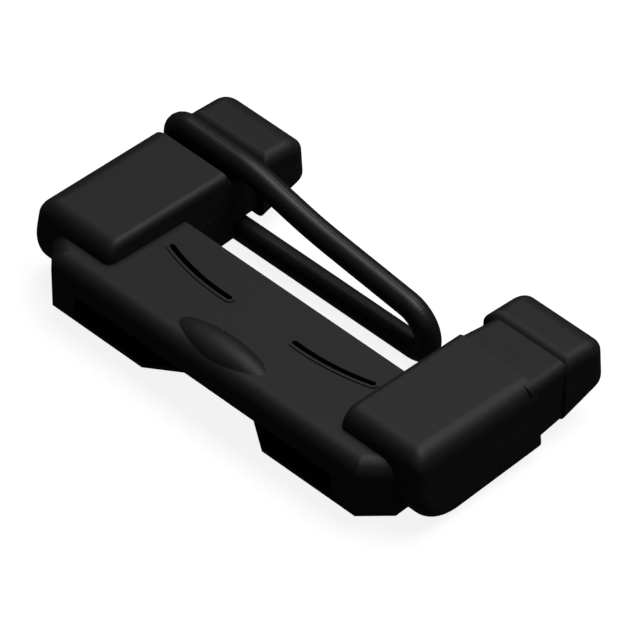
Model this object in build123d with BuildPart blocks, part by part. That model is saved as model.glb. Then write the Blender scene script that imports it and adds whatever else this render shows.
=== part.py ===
"""Strap slider with two grooved arms and a rubber hook loop.

X runs from the left arm to the right arm, Y from front to back and Z up. The origin is the centre
of the strap tunnel, so a strap runs along Y through it.
"""
import os

from build123d import *

# Strap tunnel
tunnel_width = 50.2            # clear width, for 50 mm webbing
mouth_width = 58.0             # the front mouth is wider, up to the arms
tunnel_height = 4.8
floor_thickness = 0.8
floor_bottom = -tunnel_height / 2 - floor_thickness
seam_z = tunnel_height / 2     # the two shells meet at the tunnel's roof
underside_z = floor_bottom - 2.35    # the arms reach below the tunnel floor

# Notch in the front edge of the tunnel floor
notch_front_half = 13.6
notch_back_half = 7.4
notch_depth = 4.2

# Bridge plate
front_y = -11.4
plate_back = 10.7
plate_depth = plate_back - front_y
plate_half_front = 34.2        # half the straight front edge
facet = 4.6                    # front corners are cut at 45 degrees
plate_back_z = 6.1             # top surface at the back edge
plate_slope = 0.082            # fall of the top surface per millimetre towards the back
plate_front_radius = 3.0

# Sight slots and thumb ridge on the plate
slot_outer = (22.6, 4.7)
slot_middle = (15.4, 2.95)
slot_inner = (7.4, 2.5)
slot_width = 1.0
rim_width = 0.5
rim_height = 0.22
ridge_y = -6.7
ridge_half_length = 11.6
ridge_half_width = 3.8
ridge_sink = 2.3               # how far the ridge's centre line lies below the plate top

# Arms
arm_inner = 25.2
arm_outer = 43.9
arm_front = -8.8
arm_ref_y = 11.3
arm_ref_z = 9.95               # arm top at arm_ref_y
arm_slope = 0.07
lip_y = 21.4                   # the body ends here and the neck begins
head_y = 27.4                  # front wall of the head
arm_back = 38.3
nose_lean = 3.0                # the front wall leans back
nose_radius = 9.5              # the top rolls down to the front wall
outer_edge_radius = 3.4
inner_edge_radius = 1.5
underside_radius = 2.1
draft = 2.5                    # degrees, the sides lean in towards the top

# Necks
neck_inner_step = (0.5, 1.1)   # how far the right neck lies inside the body's inner side, at each end
neck_outer_step = (0.7, 1.3)
neck_bottom = (-4.3, -4.2)
neck_top_drop = (0.3, 0.9)
neck_overlap = (2.0, 1.0)      # the necks run on into the body and the head
left_neck_outer = 38.9         # deep seat that keeps the loop captive
left_neck_bottom = -2.7
left_neck_top = 7.3
neck_radii = {"right": 1.8, "left": 1.2}

# Heads
head_inner = 24.3
head_outer = 43.2
head_rise = -0.5               # from the line of the arm's top to the head's top at its front wall
head_slope = 0.11
head_bottom = -4.2
head_under_radius = 4.5
head_under_slope = 2.9
head_inner_radius = 2.8
head_outer_radius = 3.6
head_edge_radius = 2.2
head_under_edge = 1.6

# Hollows inside the arms
cavity_front = 1.5
cavity_back = 18.5
cavity_inner = 29.0
cavity_outer = 40.0
cavity_top_gap = 2.4
cavity_bottom = underside_z + 2.0

# Screws that hold the lower shell
screw_places = ((34.5, 5.0), (34.5, 15.0))      # in the right arm; the left arm mirrors them
screw_points = [(side * x, y) for x, y in screw_places for side in (-1, 1)]
screw_radius = 1.0
screw_hole = 1.1
screw_head_radius = 1.9
screw_head_height = 1.3
screw_recess_radius = 0.9
screw_length = 11.5
boss_radius = 2.6
counterbore_radius = 2.3
counterbore_depth = 1.6
screw_seat_z = underside_z + counterbore_depth

# Rubber loop
cord_radius = 2.2
loop_y = (lip_y + head_y) / 2 - 0.25
loop_upper_z = 10.0            # centre of the cord over the left arm
loop_lower_z = -5.05
loop_outer_x = -41.15          # centre of the cord on the arm's outer side
loop_corner_radius = 2.8
loop_bend = (-23.5, 9.55)      # the upper strand leaves the arm and turns down here
loop_bend_radius = 30
loop_sag = (-9.5, 6.1)
loop_sag_radius = 80
loop_tip_upper = (16.1, 2.75)  # corners that the rounded tip is drawn in
loop_tip_lower = (16.1, -5.0)
loop_tip_radius = 2.9
loop_tip_bend = 5.4
loop_anchor_x = -25.2          # the anchored stretch ends here
loop_root_x = -17.0            # the flexing root ends here
loop_tip_x = 8.0               # the rounded tip begins here

os.makedirs("parts", exist_ok=True)


def arm_top(y):
    """Height of the sloping arm top at y."""
    return arm_ref_z - arm_slope * (y - arm_ref_y)


def plate_top(y):
    """Height of the sloping plate top at y."""
    return plate_back_z - plate_slope * (y - plate_back)


full_height = arm_top(arm_front) + 5 - underside_z

# Body of the right arm, from the underside to the sloping top that rolls down to the front
with BuildPart() as arm_body:
    with BuildSketch(Plane.XY.offset(underside_z)):
        with Locations(((arm_inner + arm_outer) / 2, lip_y)):
            Rectangle(arm_outer - arm_inner, 4 * lip_y, align=(Align.CENTER, Align.MAX))
    extrude(amount=full_height, taper=draft)
    with BuildSketch(Plane.YZ):
        with BuildLine():
            Polyline((arm_front, underside_z), (lip_y + 1, underside_z), (lip_y + 1, arm_top(lip_y + 1)),
                     (arm_front + nose_lean, arm_top(arm_front + nose_lean)), close=True)
        make_face()
        fillet(vertices().sort_by(Axis.Y)[:2].sort_by(Axis.Z)[-1:], nose_radius)
    extrude(amount=arm_outer + 5, mode=Mode.INTERSECT)
    underside = faces().sort_by(Axis.Z)[0]
    fillet(underside.edges().filter_by(
        lambda e: e.center().Y < lip_y - 1 and e.center().X > arm_inner + 1.5), underside_radius)
    outer_side = faces().filter_by(lambda f: f.normal_at().X > 0.9).sort_by(Axis.X)[-1]
    fillet(outer_side.edges().filter_by(
        lambda e: e.center().Y < lip_y - 1 and e.center().Z > underside_z + 0.5), outer_edge_radius)
    inner_side = faces().filter_by(lambda f: f.normal_at().X < -0.9).sort_by(Axis.X)[0]
    fillet(inner_side.edges().filter_by(
        lambda e: e.center().Y < lip_y - 1 and e.center().Z > seam_z + 3), inner_edge_radius)

# Necks, sunk below the body and the head so that the loop has a seat. Each is lofted from its section
# at the lip to its section at the head's wall: inner side, outer side, underside and top.
neck_from = lip_y - neck_overlap[0]
neck_to = head_y + neck_overlap[1]
left_section = (arm_inner + neck_inner_step[0], left_neck_outer, left_neck_bottom, left_neck_top)
neck_sections = {
    "right": ((neck_from, arm_inner + neck_inner_step[0], arm_outer - neck_outer_step[0],
               neck_bottom[0], arm_top(neck_from) - neck_top_drop[0]),
              (neck_to, arm_inner + neck_inner_step[1], arm_outer - neck_outer_step[1],
               neck_bottom[1], arm_top(neck_to) - neck_top_drop[1])),
    "left": ((neck_from, *left_section), (neck_to, *left_section)),
}
necks = {}
for side_name, sections in neck_sections.items():
    with BuildPart() as neck:
        for y, inner, outer, bottom, top in sections:
            with BuildSketch(Plane.XZ.offset(-y)):
                with Locations(((inner + outer) / 2, (bottom + top) / 2)):
                    RectangleRounded(outer - inner, top - bottom, neck_radii[side_name])
        loft()
    necks[side_name] = neck.part

# Head of the right arm
with BuildPart() as arm_head:
    with BuildSketch(Plane.XY.offset(head_bottom)):
        with BuildLine():
            Polyline((head_inner, head_y), (head_outer, head_y), (head_outer, arm_back),
                     (head_inner, arm_back), close=True)
        make_face()
        fillet(vertices().sort_by(Axis.Y)[-2:].sort_by(Axis.X)[:1], head_inner_radius)
        fillet(vertices().sort_by(Axis.X)[-2:].sort_by(Axis.Y)[-1:], head_outer_radius)
    extrude(amount=full_height, taper=draft)
    with BuildSketch(Plane.YZ):
        with BuildLine():
            top_front = arm_top(head_y) + head_rise
            Polyline((head_y - 1, head_bottom), (arm_back, head_bottom + head_under_slope),
                     (arm_back, top_front - (arm_back - head_y) * head_slope),
                     (head_y - 1, top_front + head_slope), close=True)
        make_face()
        fillet(vertices().sort_by(Axis.Y)[-2:].sort_by(Axis.Z)[:1], head_under_radius)
    extrude(amount=arm_outer + 5, mode=Mode.INTERSECT)
    head_top_face = faces().sort_by(Axis.Z)[-1]
    fillet(head_top_face.edges().filter_by(lambda e: e.center().Y > head_y + 0.5), head_edge_radius)
    head_underside = faces().sort_by(Axis.Z)[0]
    fillet(head_underside.edges().filter_by(Axis.Y, tolerance=15), head_under_edge)

# Bridge plate with its front facets, the strap tunnel under it and the ridge and slots on top
with BuildPart() as plate:
    with BuildSketch(Plane.YZ.offset(-plate_half_front - facet)):
        with BuildLine():
            Polyline((front_y, floor_bottom), (plate_back, floor_bottom),
                     (plate_back, plate_top(plate_back)), (front_y, plate_top(front_y)), close=True)
        make_face()
    extrude(amount=2 * (plate_half_front + facet))
    chamfer(edges().filter_by(Axis.Z).sort_by(Axis.Y)[:2], facet)
    plate_top_face = faces().sort_by(Axis.Z)[-1]
    fillet(plate_top_face.edges().filter_by(lambda e: e.center().Y < front_y + facet), plate_front_radius)
    # thumb ridge
    with BuildSketch(Plane(origin=(0, ridge_y, plate_top(ridge_y) - ridge_sink),
                           x_dir=(1, 0, 0), z_dir=(0, -1, 0))):
        Ellipse(ridge_half_length, ridge_half_width)
        Rectangle(3 * ridge_half_length, 2 * ridge_half_width, align=(Align.CENTER, Align.MIN),
                  mode=Mode.INTERSECT)
    revolve(axis=Axis((0, ridge_y, plate_top(ridge_y) - ridge_sink), (1, 0, 0)))
    # strap tunnel, right through, with its wider mouth
    with BuildSketch(Plane.XY.offset(floor_bottom + floor_thickness)):
        Rectangle(tunnel_width, plate_depth + 2)
        with Locations((0, (front_y + arm_front) / 2 - 1)):
            Rectangle(mouth_width, arm_front - front_y + 2)
    extrude(amount=tunnel_height, mode=Mode.SUBTRACT)
    # notch in the front edge of the tunnel floor
    with BuildSketch(Plane.XY.offset(floor_bottom - 1)):
        with BuildLine():
            Polyline((-notch_front_half, front_y), (-notch_back_half, front_y + notch_depth),
                     (notch_back_half, front_y + notch_depth), (notch_front_half, front_y),
                     (notch_front_half, front_y - 1), (-notch_front_half, front_y - 1), close=True)
        make_face()
    extrude(amount=floor_thickness + 2, mode=Mode.SUBTRACT)
    # two curved slots with raised rims
    plate_plane = Plane(origin=(0, 0, plate_top(0)), x_dir=(1, 0, 0), z_dir=(0, plate_slope, 1))
    for width, depth, height, how in ((slot_width + 2 * rim_width, 1, rim_height, Mode.ADD),
                                      (slot_width, plate_top(0) - seam_z + 1, 1, Mode.SUBTRACT)):
        with BuildSketch(plate_plane.offset(height)):
            with BuildLine(mode=Mode.PRIVATE) as slot_line:
                ThreePointArc(slot_outer, slot_middle, slot_inner)
            SlotArc(slot_line.edge(), width)
            mirror(about=Plane.YZ)
        extrude(amount=-height - depth, mode=how)

# The whole housing before it is divided at the seam
with BuildPart() as housing:
    add(arm_body.part)
    add(arm_head.part)
    mirror(about=Plane.YZ)
    add(necks["right"])
    mirrored_neck = mirror(necks["left"], about=Plane.YZ, mode=Mode.PRIVATE)
    add(mirrored_neck)
    add(plate.part)

# Upper shell: the plate and the tops of the arms, hollow over the lower shell
with BuildPart() as upper_shell:
    add(housing.part)
    with Locations((0, 0, seam_z)):
        Box(4 * arm_outer, 4 * arm_outer, 2 * full_height, align=(Align.CENTER, Align.CENTER, Align.MIN),
            mode=Mode.INTERSECT)
    with BuildSketch(Plane.YZ.offset(cavity_inner)):
        with BuildLine():
            Polyline((cavity_front, seam_z - 1), (cavity_back, seam_z - 1),
                     (cavity_back, arm_top(cavity_back) - cavity_top_gap),
                     (cavity_front, arm_top(cavity_front) - cavity_top_gap), close=True)
        make_face()
    cavity = extrude(amount=cavity_outer - cavity_inner, mode=Mode.SUBTRACT)
    add(mirror(cavity, about=Plane.YZ, mode=Mode.PRIVATE), mode=Mode.SUBTRACT)
    for x, y in screw_places:
        with BuildSketch(Plane.XY.offset(seam_z)):
            with Locations((x, y), (-x, y)):
                Circle(boss_radius)
        extrude(amount=arm_top(y) - cavity_top_gap / 2 - seam_z)
    with BuildSketch(Plane.XY.offset(seam_z)):
        with Locations(*screw_points):
            Circle(screw_radius)
    extrude(amount=screw_seat_z + screw_length + 0.3 - seam_z, mode=Mode.SUBTRACT)
upper_shell.part.label = "upper_shell"
export_step(upper_shell.part, "parts/upper_shell.step")

# Lower shell: the bottoms of the arms and the notched tunnel floor
with BuildPart() as lower_shell:
    add(housing.part)
    with Locations((0, 0, seam_z)):
        Box(4 * arm_outer, 4 * arm_outer, 2 * full_height, align=(Align.CENTER, Align.CENTER, Align.MAX),
            mode=Mode.INTERSECT)
    middle = ((cavity_inner + cavity_outer) / 2, (cavity_front + cavity_back) / 2)
    with BuildSketch(Plane.XY.offset(cavity_bottom)):
        with Locations(middle, (-middle[0], middle[1])):
            Rectangle(cavity_outer - cavity_inner, cavity_back - cavity_front)
        with Locations(*screw_points):
            Circle(boss_radius, mode=Mode.SUBTRACT)
    extrude(amount=full_height, mode=Mode.SUBTRACT)
    with BuildSketch(Plane.XY.offset(underside_z)):
        with Locations(*screw_points):
            Circle(screw_hole)
    extrude(amount=full_height, mode=Mode.SUBTRACT)
    with BuildSketch(Plane.XY.offset(underside_z)):
        with Locations(*screw_points):
            Circle(counterbore_radius)
    extrude(amount=counterbore_depth, mode=Mode.SUBTRACT)
lower_shell.part.label = "lower_shell"

# Four self-tapping screws, put in from below
with BuildPart() as cover_screws:
    with BuildSketch(Plane.XY.offset(screw_seat_z)):
        with Locations(*screw_points):
            Circle(screw_head_radius)
            RegularPolygon(screw_recess_radius, 6, mode=Mode.SUBTRACT)
    extrude(amount=-screw_head_height)
    with BuildSketch(Plane.XY.offset(screw_seat_z - screw_head_height / 2)):
        with Locations(*screw_points):
            Circle(screw_radius)
    extrude(amount=screw_length + screw_head_height / 2)
cover_screws.part.label = "cover_screws"
export_step(lower_shell.part, "parts/lower_shell.step")
export_step(cover_screws.part, "parts/cover_screws.step")

# Rubber loop: one closed ring of round cord, standing in the XZ plane of the necks
with BuildPart() as loop_ring:
    with BuildLine(Plane.XZ.offset(-loop_y)) as ring_line:
        FilletPolyline((loop_outer_x, loop_upper_z), loop_bend, loop_sag, loop_tip_upper, loop_tip_lower,
                       (loop_outer_x, loop_lower_z), close=True,
                       radius=[loop_corner_radius, loop_bend_radius, loop_sag_radius, loop_tip_bend,
                               loop_tip_radius, loop_corner_radius])
    with BuildSketch(Plane(origin=ring_line.line @ 0, z_dir=ring_line.line % 0)):
        Circle(cord_radius)
    sweep()

# The ring's stretches: anchored round the left neck, flexing roots, free strands and tip
reach = 4 * arm_outer
root_split = (loop_upper_z + loop_lower_z) / 2
strand_split = (loop_tip_upper[1] + loop_tip_lower[1]) / 2
stretches = {
    "loop_anchor": (-reach, loop_anchor_x, -reach, reach),
    "loop_upper_root": (loop_anchor_x, loop_root_x, root_split, reach),
    "loop_lower_root": (loop_anchor_x, loop_root_x, -reach, root_split),
    "loop_upper_strand": (loop_root_x, loop_tip_x, strand_split, reach),
    "loop_lower_strand": (loop_root_x, loop_tip_x, -reach, strand_split),
    "loop_tip": (loop_tip_x, reach, -reach, reach),
}
for name, (x_from, x_to, z_from, z_to) in stretches.items():
    with BuildPart() as stretch:
        add(loop_ring.part)
        with Locations(((x_from + x_to) / 2, loop_y, (z_from + z_to) / 2)):
            Box(x_to - x_from, reach, z_to - z_from, mode=Mode.INTERSECT)
    stretch.part.label = name
    export_step(stretch.part, f"parts/{name}.step")
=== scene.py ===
"""Looks for a moulded strap slider with a rubber hook loop.

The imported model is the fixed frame. The two shells and the screws keep its shape and only get a finish.
The loop is made again as two soft lengths of cord that meet at the two hinges of the loop's root.
"""

import math

import bmesh
import bpy
from mathutils import Matrix, Quaternion, Vector


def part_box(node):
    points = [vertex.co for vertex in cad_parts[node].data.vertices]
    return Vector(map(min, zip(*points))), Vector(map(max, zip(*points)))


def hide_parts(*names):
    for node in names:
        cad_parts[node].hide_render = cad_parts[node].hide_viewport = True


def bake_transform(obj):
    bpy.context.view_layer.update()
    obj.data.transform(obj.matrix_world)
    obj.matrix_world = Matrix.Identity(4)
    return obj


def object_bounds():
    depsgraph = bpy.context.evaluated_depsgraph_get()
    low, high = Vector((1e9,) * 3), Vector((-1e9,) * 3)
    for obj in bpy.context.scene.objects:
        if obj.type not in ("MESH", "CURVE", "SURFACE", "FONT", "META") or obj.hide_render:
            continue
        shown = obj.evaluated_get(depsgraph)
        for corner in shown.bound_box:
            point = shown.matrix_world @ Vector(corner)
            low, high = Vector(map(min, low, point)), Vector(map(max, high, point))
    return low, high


bl_info = {
    "name": "Strap slider with rubber loop",
    "version": (1, 0, 0),
    "blender": (4, 5, 0),
    "location": "3D View > Sidebar > Slider",
    "description": "Finishes a moulded strap slider and its rubber loop, and sets its stage",
    "category": "Object",
}

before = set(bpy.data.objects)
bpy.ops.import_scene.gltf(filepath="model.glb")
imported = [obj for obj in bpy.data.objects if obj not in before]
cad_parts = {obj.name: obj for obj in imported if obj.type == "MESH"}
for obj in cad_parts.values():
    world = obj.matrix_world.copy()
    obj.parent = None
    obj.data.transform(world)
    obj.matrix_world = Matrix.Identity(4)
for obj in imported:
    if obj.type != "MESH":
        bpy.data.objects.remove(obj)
cad_low, cad_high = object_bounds()
anchor_low, anchor_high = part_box("loop_anchor")
tip_low, tip_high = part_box("loop_tip")
root_low, root_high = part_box("loop_upper_root")
shell_low, shell_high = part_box("lower_shell")
MM = 0.001
WHITE = (1, 1, 1, 1)

# Places of the two lights from the slider's middle, and their widths and depths, in metres
KEY_OFFSET = Vector((0.05, 0.35, 0.9))
KEY_SIZE = (0.9, 0.7)
SIDE_OFFSET = Vector((0.9, -0.5, 0.35))
SIDE_SIZE = (0.6, 0.6)

# Sizes of the materials' patterns; clouds are soft changes of tone and gloss
PLASTIC_CLOUDS = 6 * MM
RUBBER_CLOUDS = 4 * MM
SCUFF_SIZE = 1.1 * MM
SKIN_SIZE = 0.25 * MM
BRUSH_SIZE = 0.4 * MM
BRUSH_STRETCH = (1, 1, 12)      # turns the brush noise into streaks round the screws
LEDGE_BELOW = 0.1 * MM          # the ledge at the seam falls from here below the seam
LEDGE_ABOVE = 0.12 * MM         # to here above it
PARTING_HALF_WIDTH = 0.12 * MM

# Heights of the relief, in millimetres
GRAIN_DEPTH = 0.014
SCUFF_DEPTH = 0.004
LEDGE_DEPTH = 0.09
SKIN_DEPTH = 0.006
PARTING_DEPTH = 0.03
BRUSH_DEPTH = 0.004


class SliderSizes(bpy.types.PropertyGroup):
    """Sizes of the rubber loop, which lies in one plane across the arms."""

    cord_radius: bpy.props.FloatProperty(
        name="Cord radius", description="Half the thickness of the loop's round cord",
        default=(tip_high.y - tip_low.y) / 2, unit="LENGTH", precision=5)
    corner_radius: bpy.props.FloatProperty(
        name="Corner radius", description="Bend of the cord's centre line at the arm's outer corners",
        default=2.8 * MM, unit="LENGTH", precision=5)
    tip_bend_radius: bpy.props.FloatProperty(
        name="Tip bend radius", description="Bend of the cord's centre line at the top of the free end",
        default=5.4 * MM, unit="LENGTH", precision=5)
    tip_radius: bpy.props.FloatProperty(
        name="Tip radius", description="Bend of the cord's centre line at the foot of the free end",
        default=2.9 * MM, unit="LENGTH", precision=5)
    bend_point: bpy.props.FloatVectorProperty(
        name="Bend", description="Where the upper strand leaves the arm, across and up",
        default=(-23.5 * MM, 9.55 * MM), size=2, unit="LENGTH", precision=5)
    bend_radius: bpy.props.FloatProperty(
        name="Bend radius", description="How softly the upper strand turns down off the arm",
        default=30 * MM, unit="LENGTH", precision=5)
    sag_point: bpy.props.FloatVectorProperty(
        name="Sag", description="Middle of the upper strand, across and up",
        default=(-9.5 * MM, 6.1 * MM), size=2, unit="LENGTH", precision=5)
    sag_radius: bpy.props.FloatProperty(
        name="Sag radius", description="How softly the upper strand bends in its middle",
        default=80 * MM, unit="LENGTH", precision=5)
    tip_rise: bpy.props.FloatVectorProperty(
        name="Tip heights", description="Heights of the two corners of the loop's free end",
        default=(2.75 * MM, -5.0 * MM), size=2, unit="LENGTH", precision=5)
    cord_sides: bpy.props.IntProperty(
        name="Cord sides", description="Number of faces round the cord", default=40, min=12)
    cord_step: bpy.props.FloatProperty(
        name="Cord step", description="Length of one ring of faces along the cord",
        default=0.6 * MM, unit="LENGTH", precision=5)


class SliderFinish(bpy.types.PropertyGroup):
    """Colours and gloss of the three materials."""

    body_colour: bpy.props.FloatVectorProperty(
        name="Body colour", description="Black of the moulded shells",
        default=(0.013, 0.013, 0.0135), subtype="COLOR", min=0, max=1)
    body_roughness: bpy.props.FloatProperty(
        name="Body roughness", description="Matt finish of the shells", default=0.55, min=0, max=1,
        subtype="FACTOR")
    body_grain: bpy.props.FloatProperty(
        name="Body grain", description="Size of the mould texture's bumps", default=0.16 * MM,
        unit="LENGTH", precision=5)
    loop_colour: bpy.props.FloatVectorProperty(
        name="Loop colour", description="Black of the rubber", default=(0.011, 0.011, 0.0115),
        subtype="COLOR", min=0, max=1)
    loop_roughness: bpy.props.FloatProperty(
        name="Loop roughness", description="Soft sheen of the rubber", default=0.42, min=0, max=1,
        subtype="FACTOR")
    screw_colour: bpy.props.FloatVectorProperty(
        name="Screw colour", description="Zinc plate of the screws", default=(0.55, 0.56, 0.57),
        subtype="COLOR", min=0, max=1)
    screw_roughness: bpy.props.FloatProperty(
        name="Screw roughness", description="Brushed finish of the screws", default=0.34, min=0,
        max=1, subtype="FACTOR")


class SliderStage(bpy.types.PropertyGroup):
    """The floor, the lights and the camera."""

    floor_colour: bpy.props.FloatVectorProperty(
        name="Floor colour", description="Pale floor", default=(0.3, 0.3, 0.3),
        subtype="COLOR", min=0, max=1)
    key_power: bpy.props.FloatProperty(
        name="Key light", description="Strength of the large soft light overhead", default=6.8,
        unit="POWER")
    side_power: bpy.props.FloatProperty(
        name="Side light", description="Strength of the weak light on the right", default=0.17,
        unit="POWER")
    floor_glow: bpy.props.FloatProperty(
        name="Floor glow", description="White that the floor keeps in the shadows", default=0.88,
        min=0, max=1, subtype="FACTOR")
    world_strength: bpy.props.FloatProperty(
        name="Surroundings", description="Strength of the white surroundings", default=0.025, min=0)
    contact_depth: bpy.props.FloatProperty(
        name="Contact depth",
        description="How far behind the plate's front edge the arms touch the floor",
        default=4.7 * MM, unit="LENGTH", precision=5)
    floor_reach: bpy.props.FloatProperty(
        name="Floor reach", description="Distance from the slider to the floor's edges", default=20.0,
        unit="LENGTH")
    azimuth: bpy.props.FloatProperty(
        name="Azimuth", description="Turn of the camera round the slider",
        default=math.radians(44.65), subtype="ANGLE")
    elevation: bpy.props.FloatProperty(
        name="Elevation", description="Height of the camera above the horizon",
        default=math.radians(44.33), subtype="ANGLE")
    roll: bpy.props.FloatProperty(
        name="Roll", description="Tilt of the camera about its own line of sight",
        default=math.radians(-0.28), subtype="ANGLE")
    distance: bpy.props.FloatProperty(
        name="Distance", description="How far the camera stands from the slider", default=1.203,
        unit="LENGTH")
    lens: bpy.props.FloatProperty(
        name="Lens", description="Focal length of the camera in millimetres", default=421.0)
    aim: bpy.props.FloatVectorProperty(
        name="Aim", description="Point in the middle of the picture",
        default=(3.24 * MM, 12.4 * MM, 2.28 * MM), size=3, subtype="TRANSLATION")


class Wire:
    """A shader socket that ordinary arithmetic can be written on."""

    def __init__(self, maker, socket):
        self.maker = maker
        self.socket = socket

    def maths(self, operation, first, second):
        """A Math node on two numbers or wires."""
        return self.maker.add("ShaderNodeMath", {"operation": operation}, {0: first, 1: second})

    def __add__(self, other):
        return self.maths("ADD", self, other)

    def __radd__(self, other):
        return self.maths("ADD", other, self)

    def __sub__(self, other):
        return self.maths("SUBTRACT", self, other)

    def __rsub__(self, other):
        return self.maths("SUBTRACT", other, self)

    def __mul__(self, other):
        return self.maths("MULTIPLY", self, other)

    def __rmul__(self, other):
        return self.maths("MULTIPLY", other, self)


class Maker:
    """Builds the node tree of one material."""

    def __init__(self, name):
        self.material = bpy.data.materials.new(name)
        self.material.use_nodes = True
        self.tree = self.material.node_tree
        self.tree.nodes.clear()

    def add(self, kind, settings=None, values=None, output=0):
        """Adds a node, sets its settings, then its sockets, and gives back one of its outputs."""
        node = self.tree.nodes.new(kind)
        for name, setting in (settings or {}).items():
            setattr(node, name, setting)
        for key, value in (values or {}).items():
            if isinstance(value, Wire):
                self.tree.links.new(value.socket, node.inputs[key])
            else:
                node.inputs[key].default_value = value
        return Wire(self, node.outputs[output]) if node.outputs else None

    def noise(self, size, detail=2.0, where=None):
        """Soft random variation whose features are about as large as size, in metres."""
        return self.add("ShaderNodeTexNoise", {"noise_dimensions": "3D"},
                        {"Vector": where or self.place(), "Scale": 1 / size, "Detail": detail,
                         "Roughness": 0.55})

    def tint(self, factor, dark, light):
        """A colour between two, by a factor from 0 to 1."""
        return self.add("ShaderNodeMix", {"data_type": "RGBA"},
                        {0: factor, 6: (*dark, 1), 7: (*light, 1)}, output=2)

    def bump(self, height, depth, strength=1.0):
        """A surface normal with small relief that is depth metres tall where height is 1."""
        return self.add("ShaderNodeBump", None,
                        {"Height": height, "Distance": depth, "Strength": strength})

    def place(self, axis=None):
        """The place on the object, in metres, or one of its coordinates."""
        vector = self.add("ShaderNodeTexCoord", output=3)
        if axis is None:
            return vector
        return self.add("ShaderNodeSeparateXYZ", None, {"Vector": vector},
                        output="XYZ".index(axis))

    def fade(self, value, start, end):
        """A mask that falls smoothly from 1 where the value is at start to 0 at end."""
        return self.add("ShaderNodeMapRange", {"interpolation_type": "SMOOTHSTEP"}, {
            "Value": value, "From Min": start, "From Max": end, "To Min": 1.0, "To Max": 0.0})

    def finish(self, **sockets):
        """Ends the tree in a Principled BSDF with those sockets, and gives back the material."""
        names = {"colour": "Base Color", "roughness": "Roughness", "metallic": "Metallic",
                 "normal": "Normal", "specular": "Specular IOR Level",
                 "emission": "Emission Color", "emission_strength": "Emission Strength"}
        shader = self.add("ShaderNodeBsdfPrincipled", None,
                          {names[key]: value for key, value in sockets.items()})
        self.add("ShaderNodeOutputMaterial", None, {"Surface": shader})
        return self.material


def scaled(colour, factor):
    """A colour made lighter or darker."""
    return tuple(channel * factor for channel in colour)


def moulded_plastic(name, finish, seam):
    """Matt black moulded plastic with a fine texture and a ledge along the seam of the shells."""
    make = Maker(name)
    clouds = make.noise(PLASTIC_CLOUDS, 3)
    grain = make.noise(finish.body_grain, 2)
    scuffs = make.noise(SCUFF_SIZE, 4)
    ledge = make.fade(make.place("Z"), seam - LEDGE_BELOW, seam + LEDGE_ABOVE)
    relief = grain * GRAIN_DEPTH + scuffs * SCUFF_DEPTH + ledge * LEDGE_DEPTH
    return make.finish(
        colour=make.tint(clouds, scaled(finish.body_colour, 0.9), scaled(finish.body_colour, 1.12)),
        roughness=clouds * 0.06 + scuffs * 0.04 + (finish.body_roughness - 0.05),
        normal=make.bump(relief, MM), specular=0.4)


def moulded_rubber(name, finish, middle):
    """Black moulded rubber with a soft sheen and a faint parting line round the loop."""
    make = Maker(name)
    clouds = make.noise(RUBBER_CLOUDS, 3)
    skin = make.noise(SKIN_SIZE, 3)
    off = make.add("ShaderNodeMath", {"operation": "ABSOLUTE"}, {0: make.place("Y") - middle})
    line = make.fade(off, 0.0, PARTING_HALF_WIDTH)
    return make.finish(
        colour=make.tint(clouds, scaled(finish.loop_colour, 0.85), scaled(finish.loop_colour, 1.15)),
        roughness=clouds * 0.08 + (finish.loop_roughness - 0.04),
        normal=make.bump(skin * SKIN_DEPTH + line * PARTING_DEPTH, MM), specular=0.5)


def zinc_plate(name, finish):
    """Plated steel, brushed by the turning of the screw heads."""
    make = Maker(name)
    streaks = make.add("ShaderNodeMapping", None, {"Vector": make.place(), "Scale": BRUSH_STRETCH})
    brush = make.noise(BRUSH_SIZE, 4, streaks)
    return make.finish(
        colour=make.tint(brush, scaled(finish.screw_colour, 0.86), scaled(finish.screw_colour, 1.06)),
        roughness=brush * 0.16 + (finish.screw_roughness - 0.08), metallic=1.0,
        normal=make.bump(brush, BRUSH_DEPTH * MM))


def dress(node, material):
    """Puts one material on a CAD node."""
    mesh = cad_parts[node].data
    mesh.materials.clear()
    mesh.materials.append(material)


def piece_from(name, bm, material):
    """A new smooth-shaded object from a bmesh."""
    # extrusions add faces in an order that changes from run to run, so they are put in one order
    bm.verts.index_update()
    bm.faces.sort(key=lambda face: min(vert.index for vert in face.verts) * len(bm.verts)
                  + max(vert.index for vert in face.verts))
    bmesh.ops.recalc_face_normals(bm, faces=bm.faces)
    mesh = bpy.data.meshes.new(name)
    bm.to_mesh(mesh)
    bm.free()
    piece = bpy.data.objects.new(name, mesh)
    bpy.context.scene.collection.objects.link(piece)
    mesh.materials.append(material)
    return piece


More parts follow.
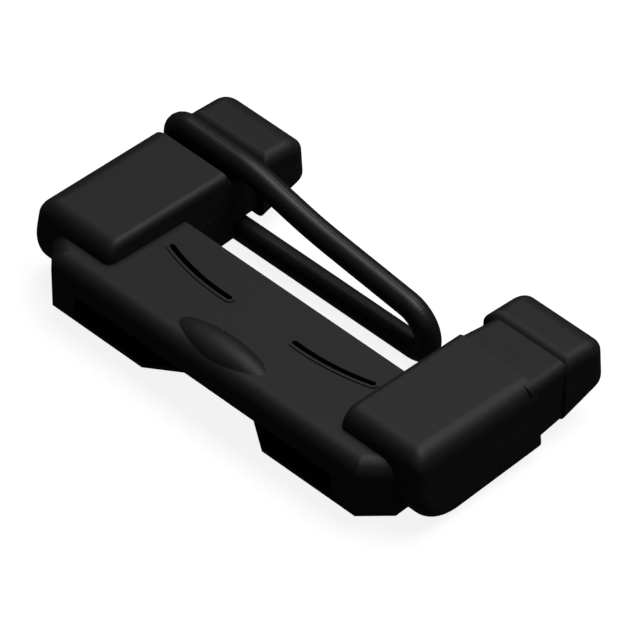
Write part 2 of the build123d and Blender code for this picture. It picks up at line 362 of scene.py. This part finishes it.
class CordWalk:
    """Grows a round cord ring by ring in the loop's plane, from a start point and a heading."""

    def __init__(self, sizes, start, heading, plane_y):
        self.sizes = sizes
        self.point = Vector((start[0], plane_y, start[1]))
        self.heading = Vector((heading[0], 0, heading[1])).normalized()
        self.bm = bmesh.new()
        turn = self.heading.to_track_quat("Z", "Y").to_matrix().to_4x4()
        bmesh.ops.create_circle(
            self.bm, cap_ends=True, cap_tris=False, segments=sizes.cord_sides,
            radius=sizes.cord_radius, matrix=Matrix.Translation(self.point) @ turn)
        self.ring = list(self.bm.edges)
        for edge in self.ring:
            edge.smooth = False

    def run(self, length):
        """Carries the cord straight on."""
        steps = max(1, round(length / self.sizes.cord_step))
        for _ in range(steps):
            grown = bmesh.ops.extrude_edge_only(self.bm, edges=self.ring)["geom"]
            verts = [item for item in grown if isinstance(item, bmesh.types.BMVert)]
            bmesh.ops.translate(self.bm, vec=self.heading * (length / steps), verts=verts)
            self.ring = [item for item in grown if isinstance(item, bmesh.types.BMEdge)
                         and item.verts[0] in verts and item.verts[1] in verts]
        self.point = self.point + self.heading * length

    def turn(self, angle, radius):
        """Carries the cord round a bend; a positive angle turns it up."""
        axis = Vector((0, -1, 0))
        side = axis.cross(self.heading) * math.copysign(radius, angle)
        centre = self.point + side
        steps = max(3, round(abs(angle) * radius / self.sizes.cord_step))
        spun = bmesh.ops.spin(self.bm, geom=self.ring, cent=centre, axis=axis, angle=angle,
                              steps=steps, use_duplicate=False)["geom_last"]
        self.ring = [item for item in spun if isinstance(item, bmesh.types.BMEdge)]
        rotation = Quaternion(axis, angle)
        self.heading = rotation @ self.heading
        self.point = centre - rotation @ side

    def follow(self, corners, last):
        """Follows rounded corners, each a point and a bend radius, and ends at a last point."""
        for (x, z), radius, onward in corners:
            corner = Vector((x, self.point.y, z))
            ahead = (Vector((onward[0], self.point.y, onward[1])) - corner).normalized()
            angle = math.atan2(self.heading.x * ahead.z - self.heading.z * ahead.x,
                               self.heading.dot(ahead))
            trim = radius * math.tan(abs(angle) / 2)
            self.run((corner - self.point).length - trim)
            self.turn(angle, radius)
        self.run((Vector((last[0], self.point.y, last[1])) - self.point).length)
        bmesh.ops.edgeloop_fill(self.bm, edges=self.ring)
        for edge in self.ring:
            edge.smooth = False
        for face in self.bm.faces:
            face.smooth = len(face.verts) == 4
        return self.bm


def loop_route(sizes):
    """The corners of the loop's centre line, across and up, with the two points of the cut."""
    outer = anchor_low.x + sizes.cord_radius
    upper = anchor_high.z - sizes.cord_radius
    lower = anchor_low.z + sizes.cord_radius
    tip = tip_high.x - sizes.cord_radius
    cut = root_high.x
    bend, sag = tuple(sizes.bend_point), tuple(sizes.sag_point)
    tip_upper, tip_lower = (tip, sizes.tip_rise[0]), (tip, sizes.tip_rise[1])
    outer_upper, outer_lower = (outer, upper), (outer, lower)
    down = (cut - bend[0]) / (sag[0] - bend[0])
    along = (cut - outer) / (tip - outer)
    cut_upper = (cut, bend[1] + down * (sag[1] - bend[1]))
    cut_lower = (cut, lower + along * (tip_lower[1] - lower))
    return outer_upper, bend, sag, tip_upper, tip_lower, outer_lower, cut_upper, cut_lower


class SLIDER_OT_shells(bpy.types.Operator):
    """Give the two moulded shells their matt plastic"""

    bl_idname = "slider.shells"
    bl_label = "Finish the shells"

    def execute(self, context):
        plastic = moulded_plastic("moulded plastic", context.scene.slider_finish, shell_high.z)
        dress("upper_shell", plastic)
        dress("lower_shell", plastic)
        return {"FINISHED"}


class SLIDER_OT_screws(bpy.types.Operator):
    """Give the four screws their plated steel"""

    bl_idname = "slider.screws"
    bl_label = "Finish the screws"

    def execute(self, context):
        dress("cover_screws", zinc_plate("zinc plate", context.scene.slider_finish))
        return {"FINISHED"}


class SLIDER_OT_loop(bpy.types.Operator):
    """Make the rubber loop as two soft lengths of cord that meet on the flexing root"""

    bl_idname = "slider.loop"
    bl_label = "Make the rubber loop"

    def execute(self, context):
        sizes = context.scene.slider_sizes
        middle = (anchor_low.y + anchor_high.y) / 2
        rubber = moulded_rubber("moulded rubber", context.scene.slider_finish, middle)
        (outer_upper, bend, sag, tip_upper, tip_lower, outer_lower,
         cut_upper, cut_lower) = loop_route(sizes)

        heading = (bend[0] - sag[0], bend[1] - sag[1])
        walk = CordWalk(sizes, cut_upper, heading, middle)
        bm = walk.follow([(bend, sizes.bend_radius, outer_upper),
                          (outer_upper, sizes.corner_radius, outer_lower),
                          (outer_lower, sizes.corner_radius, cut_lower)], cut_lower)
        held = piece_from("loop_held_length", bm, rubber)
        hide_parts("loop_anchor", "loop_upper_root", "loop_lower_root")
        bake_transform(held)

        walk = CordWalk(sizes, cut_upper, (-heading[0], -heading[1]), middle)
        bm = walk.follow([(sag, sizes.sag_radius, tip_upper),
                          (tip_upper, sizes.tip_bend_radius, tip_lower),
                          (tip_lower, sizes.tip_radius, cut_lower)], cut_lower)
        free = piece_from("loop_free_length", bm, rubber)
        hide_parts("loop_upper_strand", "loop_lower_strand", "loop_tip")
        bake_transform(free)
        return {"FINISHED"}


def area_light(name, offset, size, power):
    """A soft rectangular light, offset from the slider's middle and turned to it."""
    data = bpy.data.lights.new(name, "AREA")
    data.shape = "RECTANGLE"
    data.size, data.size_y = size
    data.energy = power
    light = bpy.data.objects.new(name, data)
    light.location = (cad_low + cad_high) / 2 + offset
    light.rotation_mode = "QUATERNION"
    light.rotation_quaternion = (-offset).to_track_quat("-Z", "Y")
    bpy.context.scene.collection.objects.link(light)
    return light


class SLIDER_OT_stage(bpy.types.Operator):
    """Set the pale floor and the soft light"""

    bl_idname = "slider.stage"
    bl_label = "Set the stage"

    def execute(self, context):
        stage = context.scene.slider_stage
        make = Maker("pale floor")
        floor_white = make.finish(
            colour=(*stage.floor_colour, 1), roughness=0.9, specular=0.0, emission=WHITE,
            emission_strength=stage.floor_glow)
        # the slider rests on the fronts of its arms and on the loop, a little lower behind
        front = shell_low.y + stage.contact_depth
        slope = (anchor_low.z - shell_low.z) / ((anchor_low.y + anchor_high.y) / 2 - front)
        bm = bmesh.new()
        bmesh.ops.create_grid(bm, x_segments=1, y_segments=1, size=stage.floor_reach)
        bmesh.ops.rotate(bm, verts=bm.verts, cent=(0, 0, 0), matrix=Matrix.Rotation(
            math.atan(slope), 3, "X"))
        bmesh.ops.translate(bm, verts=bm.verts, vec=(0, 0, shell_low.z - slope * front))
        floor = piece_from("floor", bm, floor_white)
        floor.visible_diffuse = False
        floor.visible_glossy = False

        area_light("key light", KEY_OFFSET, KEY_SIZE, stage.key_power)
        area_light("side light", SIDE_OFFSET, SIDE_SIZE, stage.side_power)

        world = bpy.data.worlds.new("soft surroundings")
        world.use_nodes = True
        background = world.node_tree.nodes["Background"]
        background.inputs["Color"].default_value = WHITE
        background.inputs["Strength"].default_value = stage.world_strength
        context.scene.world = world
        context.scene.view_settings.view_transform = "Standard"
        return {"FINISHED"}


class SLIDER_OT_camera(bpy.types.Operator):
    """Place the camera"""

    bl_idname = "slider.camera"
    bl_label = "Place the camera"

    def execute(self, context):
        stage = context.scene.slider_stage
        data = bpy.data.cameras.new("camera")
        data.lens = stage.lens
        data.sensor_width = 36.0
        data.clip_start = 0.01
        data.clip_end = 60.0
        camera = bpy.data.objects.new("camera", data)
        back = Vector((math.sin(stage.azimuth) * math.cos(stage.elevation),
                       -math.cos(stage.azimuth) * math.cos(stage.elevation),
                       math.sin(stage.elevation)))
        camera.location = Vector(stage.aim) + back * stage.distance
        camera.rotation_mode = "QUATERNION"
        camera.rotation_quaternion = (-back).to_track_quat("-Z", "Y") @ Quaternion(
            (0, 0, 1), stage.roll)
        context.scene.collection.objects.link(camera)
        context.scene.camera = camera
        return {"FINISHED"}


class SLIDER_PT_panel(bpy.types.Panel):
    """Lists the slider's sizes, finishes, stage and steps"""

    bl_label = "Strap slider"
    bl_idname = "SLIDER_PT_panel"
    bl_space_type = "VIEW_3D"
    bl_region_type = "UI"
    bl_category = "Slider"

    def draw(self, context):
        for group in (context.scene.slider_sizes, context.scene.slider_finish,
                      context.scene.slider_stage):
            box = self.layout.box()
            for name in type(group).__annotations__:
                box.prop(group, name)
        for step in STEPS:
            self.layout.operator(step.bl_idname)


GROUPS = {"slider_sizes": SliderSizes, "slider_finish": SliderFinish, "slider_stage": SliderStage}
STEPS = (SLIDER_OT_camera, SLIDER_OT_shells, SLIDER_OT_screws, SLIDER_OT_loop, SLIDER_OT_stage)


def register():
    """Adds the property groups, the operators and the panel to Blender."""
    for cls in (*GROUPS.values(), *STEPS, SLIDER_PT_panel):
        bpy.utils.register_class(cls)
    for name, group in GROUPS.items():
        setattr(bpy.types.Scene, name, bpy.props.PointerProperty(type=group))


def unregister():
    """Takes them out again."""
    for name in GROUPS:
        delattr(bpy.types.Scene, name)
    for cls in reversed((*GROUPS.values(), *STEPS, SLIDER_PT_panel)):
        bpy.utils.unregister_class(cls)


def main():
    """Makes everything in order."""
    register()
    bpy.ops.slider.camera()
    bpy.ops.slider.shells()
    bpy.ops.slider.screws()
    bpy.ops.slider.loop()
    bpy.ops.slider.stage()


if __name__ == "__main__":
    main()
